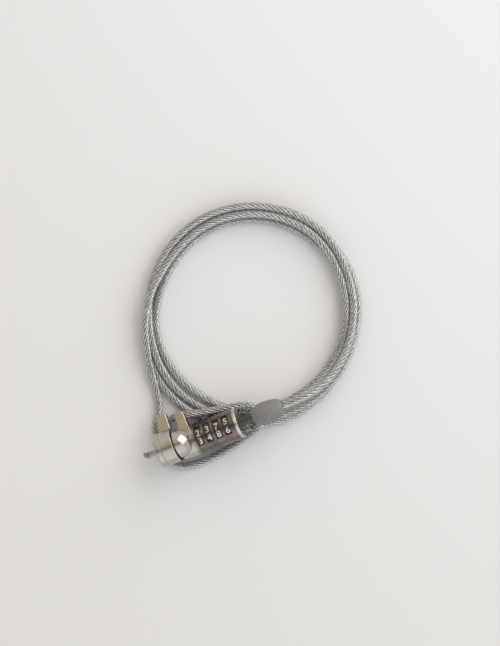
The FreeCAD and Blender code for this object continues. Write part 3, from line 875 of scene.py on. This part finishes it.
@dataclass
class Cable:
    """The steel rope in its clear sheath, from the sleeve round the coil to the crimped eye.

    Attributes:
        axes: The lock's axes.
        finishes: The finishes.
        diameter: Sheath diameter.
        strand_count: Strands of the rope.
        strand_radius: Radius of one strand.
        lay_radius: Distance of the strands' middles from the rope's.
        lay_length: Length of one full turn of a strand.
        core_radius: Radius of the straight strand in the middle.
        rings_per_lay: Rings of corners in one full turn of a strand.
        strand_sides: Sides of one strand.
    """

    axes: LockAxes
    finishes: Finishes
    diameter: float = 4.4 * MM
    strand_count: int = 6
    strand_radius: float = 0.62 * MM
    lay_radius: float = 1.32 * MM
    lay_length: float = 19.0 * MM
    core_radius: float = 0.68 * MM
    rings_per_lay: int = 10
    strand_sides: int = 6

    def control_points(self) -> list[tuple]:
        """Control points of the whole cable's line.

        Returns:
            The points from the sleeve to the end in the crimp, in metres.
        """
        start = self.axes.start + self.axes.along * NECK_REAR * MM
        turn = self.axes.start + self.axes.along * LEAD_BEND * MM
        points = [tuple(start), tuple(turn), *LEAD_ROUTE]
        first, last = WINDING[0][0], WINDING[-1][0]
        count = round((last - first) / WINDING_STEP)
        swell = 1 / math.cos(math.radians(WINDING_STEP / 2))
        for i in range(1, count):
            angle = first + (last - first) * i / count
            radius, height = smooth_between(WINDING, angle)
            x = COIL_CENTRE[0] + swell * radius * math.cos(math.radians(angle))
            y = COIL_CENTRE[1] + swell * radius * math.sin(math.radians(angle))
            points.append((x * MM, y * MM, height * MM))
        return points + TAIL_ROUTE + EYE_ROUTE

    def line(self, points: list[tuple]) -> bpy.types.Curve:
        """A smooth open line on control points.

        Args:
            points: The control points.

        Returns:
            The curve, without thickness.
        """
        curve = bpy.data.curves.new("cable", "CURVE")
        curve.dimensions = "3D"
        spline = curve.splines.new("NURBS")
        spline.points.add(len(points) - 1)
        for point, place in zip(spline.points, points):
            point.co = (*place, 1.0)
        spline.order_u = 3
        spline.use_endpoint_u = True
        spline.resolution_u = 6
        curve.resolution_u = 6
        return curve

    def sampled(self, curve: bpy.types.Curve) -> list[Vector]:
        """Points of the line, read from the curve before it gets its thickness.

        Args:
            curve: The curve.

        Returns:
            Its points in order.
        """
        mesh = evaluated_mesh(curve)
        places = [vertex.co.copy() for vertex in mesh.vertices]
        bpy.data.meshes.remove(mesh)
        return places

    @staticmethod
    def respaced(places: list[Vector], spacing: float) -> list[Vector]:
        """Points at an even spacing along a line.

        Args:
            places: Points of the line in order.
            spacing: The spacing.

        Returns:
            The new points.
        """
        result = [places[0]]
        carried = 0.0
        for a, b in zip(places, places[1:]):
            length = (b - a).length
            while carried + length >= spacing:
                part = (spacing - carried) / length
                a = a.lerp(b, part)
                result.append(a)
                length = (b - a).length
                carried = 0.0
            carried += length
        return result

    @staticmethod
    def travelling_frame(places: list[Vector]) -> list[tuple]:
        """Directions that follow the line without turning about it.

        Args:
            places: Evenly spaced points of the line.

        Returns:
            The tangent and a vector across it at each point.
        """
        tangents = [(b - a).normalized() for a, b in zip(places, places[1:])]
        tangents.append(tangents[-1])
        normal = tangents[0].orthogonal().normalized()
        frame = []
        for tangent in tangents:
            normal = (normal - tangent * normal.dot(tangent)).normalized()
            frame.append((tangent, normal))
        return frame

    def bar(self, work: bmesh.types.BMesh, middles: list[tuple], step: float, thickness: float) -> None:
        """Adds one strand as a round bar.

        Args:
            work: The mesh it goes to, with a UV layer.
            middles: Middle, outward direction and tangent of each ring.
            step: Distance of two rings along the rope.
            thickness: The bar's radius.
        """
        uv = work.loops.layers.uv.active
        sides = self.strand_sides
        previous = None
        for i, (middle, outward, tangent) in enumerate(middles):
            across = tangent.cross(outward)
            ring = []
            for k in range(sides):
                angle = 2 * math.pi * k / sides
                offset = outward * math.cos(angle) + across * math.sin(angle)
                ring.append(work.verts.new(middle + offset * thickness))
            if previous:
                for k in range(sides):
                    following = (k + 1) % sides
                    face = work.faces.new((previous[k], previous[following], ring[following], ring[k]))
                    along = i * step / thickness
                    for loop, (u, v) in zip(face.loops, ((0, k), (0, k + 1), (1, k + 1), (1, k))):
                        loop[uv].uv = (v / sides, (along + u * step / thickness) / UV_STRETCH)
            else:
                work.faces.new(list(reversed(ring)))
            previous = ring
        work.faces.new(previous)

    def strands(self, places: list[Vector]) -> bpy.types.Mesh:
        """The rope's strands, each a round bar laid in a right-hand helix on the line.

        Args:
            places: Evenly spaced points of the line.

        Returns:
            One mesh with all the strands.
        """
        work = bmesh.new()
        work.loops.layers.uv.new("length")
        frame = self.travelling_frame(places)
        step = (places[1] - places[0]).length
        for strand in range(self.strand_count + 1):
            core = strand == self.strand_count
            distance = 0.0 if core else self.lay_radius
            thickness = self.core_radius if core else self.strand_radius
            middles = []
            for i, (place, (tangent, side)) in enumerate(zip(places, frame)):
                phase = 2 * math.pi * (strand / self.strand_count + i * step / self.lay_length)
                other = tangent.cross(side)
                outward = side * math.cos(phase) + other * math.sin(phase)
                middles.append((place + outward * distance, outward, tangent))
            self.bar(work, middles, step, thickness)
        mesh = bpy.data.meshes.new("rope_strands")
        work.to_mesh(mesh)
        work.free()
        return mesh

    def build(self, nodes: dict) -> None:
        """Args:
            nodes: The frame's CAD nodes. Not used.
        """
        points = self.control_points()
        curve = self.line(points)
        places = self.sampled(curve)
        curve.bevel_depth = self.diameter / 2
        curve.bevel_resolution = 4
        curve.use_fill_caps = True
        curve.materials.append(self.finishes.sheath)
        sheath = bpy.data.objects.new("cable_sheath", curve)
        bpy.context.scene.collection.objects.link(sheath)
        strands = self.strands(self.respaced(places, self.lay_length / self.rings_per_lay))
        rope = mesh_piece("cable_rope", strands, self.finishes.rope, smooth=70.0)
        for piece in (sheath, rope):
            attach(piece, Body.CASE.value)
            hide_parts("cable_lead", "cable_coil", "cable_tail", "cable_eye")


@dataclass
class NumberWheels:
    """Raised numbers on the four dials.

    Attributes:
        axes: The lock's axes.
        finishes: The finishes.
        radius: Radius of the dials' ground.
        relief: Height of the numbers.
        height: Height of a number along the rim.
        capital: Height of a number as a share of the letter size.
        weight: How much bolder a number is, as a share of its height.
        shown: Number nearest to the middle of each dial's window.
        lead: Turn of that number past the window's middle, in degrees.
    """

    axes: LockAxes
    finishes: Finishes
    radius: float = 7.3 * MM
    relief: float = 0.15 * MM
    height: float = 3.5 * MM
    capital: float = 0.72
    weight: float = 0.02
    shown: tuple = (2, 3, 7, 5)
    lead: float = 14.0

    def number(self, digit: int) -> bpy.types.Mesh:
        """One number as a flat raised mesh, x along the lock and y up the number.

        Args:
            digit: The number.

        Returns:
            Its mesh.
        """
        text = bpy.data.curves.new(f"number_{digit}", "FONT")
        text.body = str(digit)
        text.size = self.height / self.capital
        text.align_x = "CENTER"
        text.align_y = "CENTER"
        text.extrude = self.relief
        text.offset = self.weight * self.height
        text.resolution_u = 3
        return evaluated_mesh(text)

    def build(self) -> None:
        """Wraps ten numbers round each dial."""
        spacing = 360 / DIGIT_COUNT
        for n, centre in enumerate(self.axes.dials, 1):
            work = bmesh.new()
            for place in range(DIGIT_COUNT):
                digit = (self.shown[n - 1] + place) % DIGIT_COUNT
                mesh = self.number(digit)
                start = len(work.verts)
                work.from_mesh(mesh)
                work.verts.ensure_lookup_table()
                added = work.verts[start:]
                middle = sum((v.co for v in added), Vector()) / len(added)
                low = min(v.co.x for v in added)
                high = max(v.co.x for v in added)
                for vertex in added:
                    x = vertex.co.x - (low + high) / 2
                    angle = (vertex.co.y - middle.y) / self.radius - math.radians(spacing * place - self.lead)
                    distance = self.radius + vertex.co.z
                    vertex.co = Vector((x, distance * math.sin(angle), distance * math.cos(angle)))
                bpy.data.meshes.remove(mesh)
            bmesh.ops.remove_doubles(work, verts=work.verts, dist=MERGE)
            mesh = placed_mesh(f"dial_{n}_numbers", work, self.axes.matrix(centre))
            piece = mesh_piece(f"dial_{n}_numbers", mesh, self.finishes.number, smooth=30.0)
            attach(piece, f"dial_{n}_body")
        LOG.info("number wheels: four sets of ten raised numbers")


@dataclass
class RearCap:
    """The pressed rear cap with two polished rims and a groove between them.

    Attributes:
        axes: The lock's axes.
        finishes: The finishes.
        front: Where the cap meets the tube, in millimetres behind the case's front face.
        rear: Its rear face.
        groove_start: Where the groove starts behind the cap's front.
        groove_end: Where the groove ends behind the cap's front.
        outer: Radius of the rims.
        groove: Radius in the groove.
        bore: Radius of the hole for the neck.
        soft: Radius of the rims' edges.
        edge: Whole, half and least step of the rounded rear edge.
    """

    axes: LockAxes
    finishes: Finishes
    front: float = 31.92
    rear: float = 33.4
    groove_start: float = 0.38
    groove_end: float = 0.92
    outer: float = 8.4
    groove: float = 7.75
    bore: float = 2.55
    soft: float = 0.1
    edge: tuple = (0.3, 0.15, 0.04)

    def outline(self) -> list[tuple]:
        """The cap's section, from the bore round the rims and back.

        Returns:
            Place along the lock and radius of each corner, in millimetres.
        """
        soft = self.soft
        slight = CORNER_SHARE * soft
        whole, half, least = self.edge
        first = self.front + self.groove_start
        second = self.front + self.groove_end
        rims = [
            (self.front, self.outer - soft),
            (self.front + slight, self.outer - slight),
            (self.front + soft, self.outer),
            (first - soft, self.outer),
            (first - slight, self.outer - slight),
            (first, self.outer - soft),
            (first, self.groove),
            (second, self.groove),
            (second, self.outer - soft),
            (second + slight, self.outer - slight),
            (second + soft, self.outer),
            (self.rear - whole, self.outer),
            (self.rear - half, self.outer - least),
            (self.rear - least, self.outer - half),
            (self.rear, self.outer - whole),
            (self.rear, self.bore + soft),
            (self.rear - soft, self.bore),
        ]
        return [(self.front, self.bore), *rims, (self.front, self.bore)]

    def build(self) -> None:
        """Spins the outline round the tube's axis."""
        work = spun_section(self.outline(), steps=96)
        mesh = placed_mesh("rear_cap_rims", work, self.axes.matrix(self.axes.start))
        piece = mesh_piece("rear_cap_rims", mesh, self.finishes.bright, smooth=35.0)
        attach(piece, Body.CASE.value)
        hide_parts("rear_cap")
        LOG.info("rear cap: two rims")


@dataclass
class Sleeve:
    """The grey moulded sleeve: a smooth swelling body with its mould's parting line.

    Attributes:
        axes: The lock's axes.
        finishes: The finishes.
        front: Its front end, in millimetres behind the case's front face.
        length: Its length.
        swell: Largest radius.
        neck_bore: Radius of the front hole.
        neck_depth: Depth of the front hole.
        cable_bore: Radius of the rear hole.
        front_chamfer: Chamfer of the front hole.
        rear_chamfer: Chamfer of the rear hole.
        flash: Height of the parting line.
        flash_from: Share of the swell from which on the line is raised.
    """

    axes: LockAxes
    finishes: Finishes
    front: float = 40.7
    length: float = 17.1
    swell: float = 5.8
    neck_bore: float = 2.5
    neck_depth: float = 6.2
    cable_bore: float = 2.25
    front_chamfer: float = 0.2
    rear_chamfer: float = 0.3
    flash: float = 0.06
    flash_from: float = 0.65

    def side_points(self) -> list[tuple]:
        """Corners of the side, front to rear.

        Returns:
            Share of the length and share of the swell of each corner.
        """
        return [
            (0.0, 0.52),
            (0.012, 0.6),
            (0.04, 0.68),
            (0.1, 0.795),
            (0.17, 0.885),
            (0.25, 0.95),
            (0.33, 0.985),
            (0.41, 1.0),
            (0.5, 0.998),
            (0.59, 0.98),
            (0.68, 0.94),
            (0.77, 0.876),
            (0.85, 0.8),
            (0.9, 0.728),
            (0.94, 0.647),
            (0.97, 0.57),
            (0.99, 0.51),
            (1.0, 0.47),
        ]

    def outline(self) -> list[tuple]:
        """The sleeve's section, from the front hole round the side to the rear hole and back.

        Returns:
            Place along the lock and radius of each corner, in millimetres.
        """
        rear = self.front + self.length
        side = [(self.front + x * self.length, r * self.swell) for x, r in self.side_points()]
        step = self.front + self.neck_depth
        return [
            (step, self.cable_bore),
            (step, self.neck_bore),
            (self.front + self.front_chamfer, self.neck_bore),
            (self.front, self.neck_bore + self.front_chamfer),
            *side,
            (rear, self.cable_bore + self.rear_chamfer),
            (rear - self.rear_chamfer, self.cable_bore),
            (step, self.cable_bore),
        ]

    def build(self) -> None:
        """Spins the outline round the tube's axis and raises the parting line."""
        work = spun_section(self.outline(), steps=120)
        for vertex in work.verts:
            distance = math.hypot(vertex.co.y, vertex.co.z)
            if abs(vertex.co.z) < LINE_SLOPE * distance and distance > self.flash_from * self.swell * MM:
                vertex.co.y *= 1 + self.flash * MM / distance
        mesh = placed_mesh("sleeve_moulding", work, self.axes.matrix(self.axes.start))
        piece = mesh_piece("sleeve_moulding", mesh, self.finishes.sleeve, smooth=30.0)
        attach(piece, Body.SWIVEL.value)
        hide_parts("cable_sleeve")
        LOG.info("sleeve: %.1f mm long", self.length)


@dataclass
class CarriedParts:
    """CAD pieces that stay as they are and get their finish here.

    Attributes:
        finishes: The finishes.
    """

    finishes: Finishes

    def build(self, nodes: dict, record: dict) -> None:
        """Dresses every shown CAD piece by its record slot.

        Args:
            nodes: The frame's CAD nodes.
            record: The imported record.
        """
        slots = {part["node"]: part["material_slot"] for part in record["subparts"]}
        own = {
            # Plating with the painted dark reflection on the tube
            "housing": self.finishes.barrel,
            # Neck steel darkened with painted shade
            "cable_anchor": self.finishes.neck,
            "dial_spacers": self.finishes.steel,
            "rear_plug": self.finishes.steel,
        }
        for name, obj in nodes.items():
            material = own.get(name) or self.finishes.for_slot(slots[name])
            for place in obj.material_slots:
                place.material = material
        LOG.info("carried parts: %d dressed", len(nodes))


@dataclass
class Studio:
    """Pale floor, soft lamps, surroundings and the camera straight above the coil.

    Attributes:
        floor_tone: Colour of the floor.
        look_at: Point of the row frame in the middle of the view.
        distance: Height of the camera over that point.
        width: Width of the view at that point.
        surroundings: Colours round the lock, from its -Y side over the top to its +Y side.
        backdrop: Plain colour that is seen past the floor.
        lit: Point that the lamps face.
    """

    floor_tone: tuple = (0.75, 0.77, 0.795)
    look_at: tuple = (0.0, 0.0, LOOK_HEIGHT)
    distance: float = 1.1
    width: float = 0.262
    surroundings: tuple = (
        (0.0, (0.85, 0.85, 0.85)),
        (0.4, (0.74, 0.74, 0.74)),
        (0.47, (0.4, 0.38, 0.36)),
        (0.5, (0.1, 0.085, 0.075)),
        (0.55, (0.38, 0.31, 0.24)),
        (0.66, (0.68, 0.56, 0.43)),
        (1.0, (0.85, 0.77, 0.68)),
    )
    backdrop: tuple = (0.72, 0.72, 0.71)
    lit: tuple = (0.03, 0.03, 0.0)

    def floor(self) -> None:
        """A large pale sheet under the lock."""
        work = bmesh.new()
        bmesh.ops.create_grid(work, x_segments=1, y_segments=1, size=2.0)
        mesh = bpy.data.meshes.new("floor")
        work.to_mesh(mesh)
        work.free()
        tree = Tree("floor_paper").set(Base_Color=(*self.floor_tone, 1.0), Roughness=0.9, Specular_IOR_Level=0.15)
        obj = mesh_piece("floor", mesh, tree.material)

    def lamp(self, name: str, place: tuple, size: float, power: float) -> None:
        """A square soft lamp that points at the lock.

        Args:
            name: Lamp name.
            place: Where it stands.
            size: Length of its side.
            power: Its power in watts.
        """
        light = bpy.data.lights.new(name, "AREA")
        light.size = size
        light.energy = power
        obj = bpy.data.objects.new(name, light)
        obj.location = place
        direction = Vector(self.lit) - Vector(place)
        obj.rotation_euler = direction.to_track_quat("-Z", "Y").to_euler()
        bpy.context.scene.collection.objects.link(obj)

    def world(self) -> None:
        """Surroundings that are white on one side, dark overhead and warm on the other side."""
        world = bpy.data.worlds.new("studio")
        world.use_nodes = True
        nodes, links = world.node_tree.nodes, world.node_tree.links
        split = nodes.new("ShaderNodeSeparateXYZ")
        links.new(nodes.new("ShaderNodeTexCoord").outputs["Generated"], split.inputs["Vector"])
        sides = nodes.new("ShaderNodeMapRange")
        sides.inputs["From Min"].default_value = -1.0
        links.new(split.outputs["Y"], sides.inputs["Value"])
        ramp = nodes.new("ShaderNodeValToRGB")
        elements = ramp.color_ramp.elements
        while len(elements) < len(self.surroundings):
            elements.new(0.5)
        for element, (position, colour) in zip(elements, self.surroundings):
            element.position = position
            element.color = (*colour, 1.0)
        links.new(sides.outputs["Result"], ramp.inputs["Fac"])
        shown = nodes.new("ShaderNodeMix")
        shown.data_type = "RGBA"
        links.new(nodes.new("ShaderNodeLightPath").outputs["Is Camera Ray"], shown.inputs[MIX_FACTOR])
        links.new(ramp.outputs["Color"], shown.inputs[MIX_FIRST])
        shown.inputs[MIX_SECOND].default_value = (*self.backdrop, 1.0)
        background = nodes["Background"]
        links.new(shown.outputs[MIX_RESULT], background.inputs["Color"])
        background.inputs["Strength"].default_value = 1.0
        bpy.context.scene.world = world

    def camera(self) -> None:
        """The camera straight above, turned by the roll."""
        data = bpy.data.cameras.new("camera")
        data.sensor_width = SENSOR_WIDTH
        data.sensor_fit = "HORIZONTAL"
        data.lens = SENSOR_WIDTH * self.distance / self.width
        data.clip_end = 10.0
        obj = bpy.data.objects.new("camera", data)
        bpy.context.scene.collection.objects.link(obj)
        turn = Matrix.Rotation(math.radians(-CAMERA_ROLL), 4, "Z")
        middle = Vector(self.look_at)
        obj.matrix_world = Matrix.Translation(middle + Vector((0, 0, self.distance))) @ turn
        bpy.context.scene.camera = obj

    def build(self) -> None:
        """Sets up the studio."""
        self.camera()
        self.floor()
        self.world()
        self.lamp("key_lamp", (0.76, 0.38, 0.65), size=1.15, power=8.0)
        self.lamp("fill_lamp", (0.1, -1.2, 0.9), size=2.0, power=3.0)
        bpy.context.scene.view_settings.view_transform = "Standard"
        LOG.info("studio: camera, floor and lamps")


def view_point(right: float, up: float) -> tuple[float, float]:
    """Row-frame place under a point of the view, measured from the coil's middle.

    Args:
        right: Distance right of the coil's middle, in metres.
        up: Distance up from it, in metres.

    Returns:
        The x and y of the place.
    """
    angle = math.radians(-CAMERA_ROLL)
    x = COIL_CENTRE[0] * MM + right * math.cos(angle) - up * math.sin(angle)
    y = COIL_CENTRE[1] * MM + right * math.sin(angle) + up * math.cos(angle)
    return x, y


def main(frame: dict) -> None:
    """Builds the scene in order.

    Args:
        frame: The loaded frame.
    """
    joints = frame["record"]["behaviour"]["joints"]
    axes = LockAxes.from_joints(joints)
    finishes = Finishes(axes)
    x, y = view_point(*VIEW_MIDDLE)
    Studio(look_at=(x, y, LOOK_HEIGHT)).build()
    Cable(axes, finishes).build(frame["nodes"])
    CarriedParts(finishes).build(frame["nodes"], frame["record"])
    NumberWheels(axes, finishes).build()
    RearCap(axes, finishes).build()
    Sleeve(axes, finishes).build()


if __name__ == "__main__":
    logging.basicConfig(level=logging.INFO, format="%(name)s: %(message)s")
    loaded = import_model()
    main(loaded)
